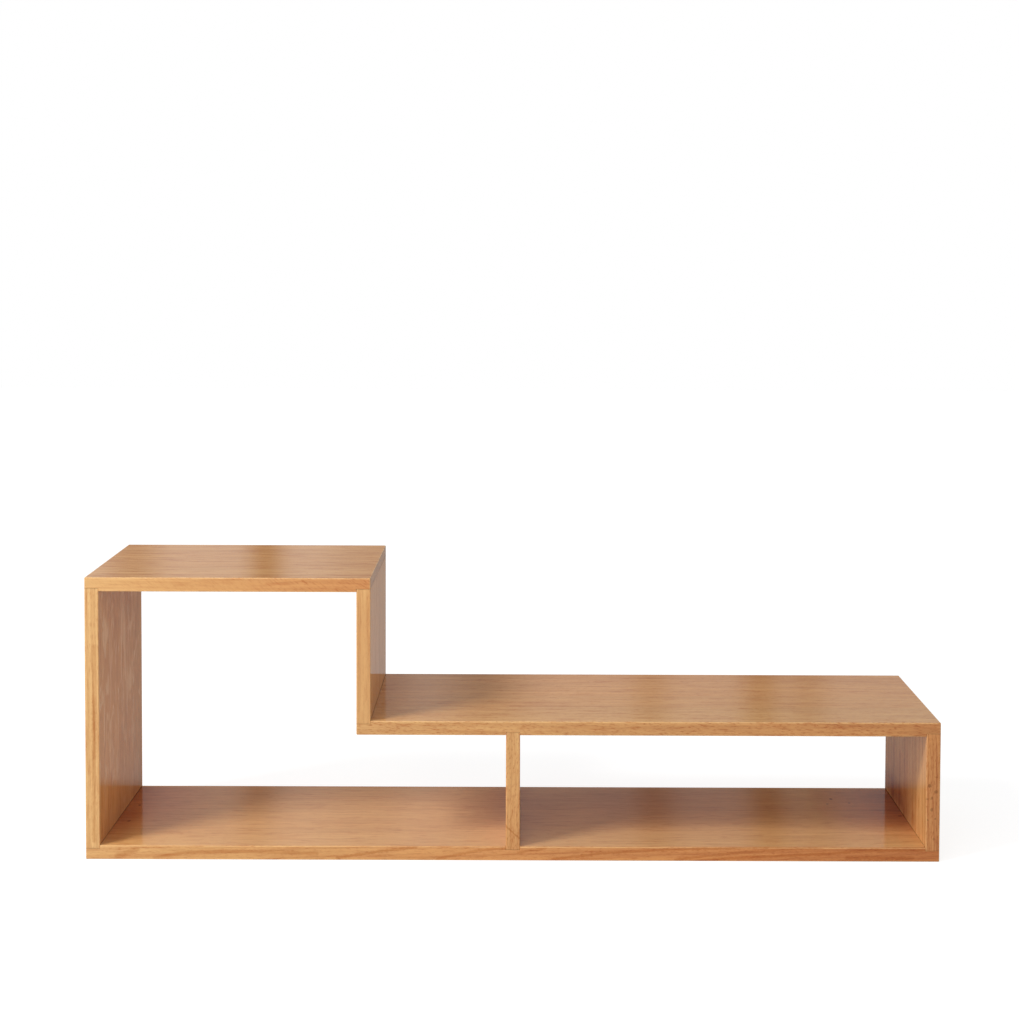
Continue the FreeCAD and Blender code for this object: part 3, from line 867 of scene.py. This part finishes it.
# The camera: lens in mm, frame shift as a share of its width, place in mm, turns in degrees.
SENSOR_WIDTH = 36.0
LENS = 58.45
FRAME_SHIFT = (-0.01299, -0.19032)
CAMERA_PLACE = (8.87, -1850.2, 650.97)
CAMERA_DIP = 2.1675
CAMERA_ROLL = 0.1927


def seen_plainly(tree, path):
    """One where the camera looks, straight or by a reflection or through glass."""
    mirrored = reckon(tree, "MAXIMUM", path.outputs["Is Glossy Ray"], path.outputs["Is Transmission Ray"])
    return reckon(tree, "MAXIMUM", path.outputs["Is Camera Ray"], mirrored)


def studio_floor():
    """A plain pale floor, white to the camera apart from the shadow on it; in the lacquer it carries a
    painted shadow just behind the shelf.
    """
    half = FLOOR_SIZE / 2
    mesh = bpy.data.meshes.new("studio_floor")
    corners = [(x, y, FLOOR_LEVEL) for x, y in ((-half, -half), (half, -half), (half, half), (-half, half))]
    mesh.from_pydata(corners, [], [range(len(corners))])
    floor = bpy.data.objects.new("studio_floor", mesh)
    bpy.context.scene.collection.objects.link(floor)
    material = bpy.data.materials.new("studio_floor")
    material.use_nodes = True
    tree = material.node_tree
    tree.nodes.clear()
    path = node(tree, "ShaderNodeLightPath")
    pale = node(tree, "ShaderNodeBsdfDiffuse", {"Color": FLOOR_PALE}).outputs[0]
    shaded = node(tree, "ShaderNodeBsdfDiffuse", {"Color": FLOOR_SHADED}).outputs[0]
    where = object_place(tree)
    # painted shadow: in the lacquer the floor glows dimmer just behind the shelf
    mirrored = ramped(tree, parts_of(tree, where)[1], *FLOOR_PAINTED_SHADOW)
    seen = ramped(tree, vector_sum(tree, "LENGTH", where), *FLOOR_SEEN)
    level = between(tree, path.outputs["Is Camera Ray"], mirrored, seen)
    glow = node(tree, "ShaderNodeEmission", {"Color": WHITE, "Strength": level}).outputs[0]
    white = node(tree, "ShaderNodeAddShader", {0: shaded, 1: glow}).outputs[0]
    out = node(tree, "ShaderNodeMixShader", {0: seen_plainly(tree, path), 1: pale, 2: white}).outputs[0]
    tree.links.new(out, tree.nodes.new("ShaderNodeOutputMaterial").inputs[0])
    mesh.materials.append(material)


def studio_walls():
    """White surroundings, plain to the camera, in panels to the lacquer with a painted shadow high on the
    right, and an even fill light.
    """
    world = bpy.data.worlds.new("studio")
    world.use_nodes = True
    tree = world.node_tree
    tree.nodes.clear()
    path = node(tree, "ShaderNodeLightPath")
    towards = parts_of(tree, node(tree, "ShaderNodeTexCoord").outputs["Generated"])
    height = towards[2]
    bearing = reckon(tree, "ARCTAN2", towards[0], towards[1])
    bearing = reckon(tree, "DIVIDE", bearing, ramped(tree, height, *GAP_SPREAD))
    right = ramped(tree, bearing, *RIGHT_HALF)
    strength = between(tree, right, ramped(tree, height, *LEFT_GAPS), ramped(tree, height, *RIGHT_GAPS))
    # painted shadow of the shelf, high on the right of the wall
    upper_right = reckon(tree, "MULTIPLY", ramped(tree, height, *UPPER_WALL), right)
    panels = reckon(tree, "MULTIPLY_ADD", upper_right, -UPPER_RIGHT_SHADE, 1.0)
    for middle, half_width, depth in WALL_GAPS:
        off = reckon(tree, "ABSOLUTE", reckon(tree, "SUBTRACT", bearing, math.radians(middle)))
        gap = ramped(tree, off, 0.0, math.radians(2.0 * half_width), depth, 0.0)
        gap = reckon(tree, "MULTIPLY", gap, strength)
        panels = reckon(tree, "MULTIPLY", panels, reckon(tree, "SUBTRACT", 1.0, gap))
    level = between(tree, path.outputs["Is Camera Ray"], panels, 1.0)
    white = node(tree, "ShaderNodeBackground", {"Color": WHITE, "Strength": level}).outputs[0]
    fill = node(tree, "ShaderNodeBackground", {"Color": WHITE, "Strength": FILL_LIGHT}).outputs[0]
    out = node(tree, "ShaderNodeMixShader", {0: seen_plainly(tree, path), 1: fill, 2: white}).outputs[0]
    tree.links.new(out, tree.nodes.new("ShaderNodeOutputWorld").inputs[0])
    bpy.context.scene.world = world


def soft_lamp(name, bearing, height, distance, size, watts):
    """A square soft box at a bearing left of the front and a height in degrees, aimed at the shelf."""
    light = bpy.data.lights.new(name, "AREA")
    light.shape = "SQUARE"
    light.size = size
    light.energy = watts
    lamp = bpy.data.objects.new(name, light)
    turn = Matrix.Rotation(math.radians(-bearing), 3, "Z") @ Matrix.Rotation(math.radians(-height), 3, "X")
    out = turn @ Vector((0.0, -1.0, 0.0))
    lamp.location = LAMP_AIM + out * distance
    lamp.rotation_mode = "QUATERNION"
    lamp.rotation_quaternion = (-out).to_track_quat("-Z", "Y")
    bpy.context.scene.collection.objects.link(lamp)


def photo_camera():
    """A long lens a little above the shelf, looking almost level, with the frame shifted down."""
    lens = bpy.data.cameras.new("photo_camera")
    lens.sensor_width = SENSOR_WIDTH
    lens.lens = LENS
    lens.shift_x, lens.shift_y = FRAME_SHIFT
    camera = bpy.data.objects.new("photo_camera", lens)
    place = Matrix.Translation([part * MM for part in CAMERA_PLACE])
    tilt = Matrix.Rotation(math.radians(90.0 - CAMERA_DIP), 4, "X")
    roll = Matrix.Rotation(math.radians(CAMERA_ROLL), 4, "Z")
    camera.matrix_world = place @ tilt @ roll
    bpy.context.scene.collection.objects.link(camera)
    bpy.context.scene.camera = camera


make_boards()
finish_fasteners()
studio_floor()
studio_walls()
soft_lamp("key", bearing=58.0, height=40.0, distance=3.2, size=0.8, watts=55.5)
soft_lamp("fill", bearing=15.0, height=30.0, distance=1.4, size=0.7, watts=3.6)
photo_camera()
bpy.context.scene.view_settings.view_transform = "Standard"
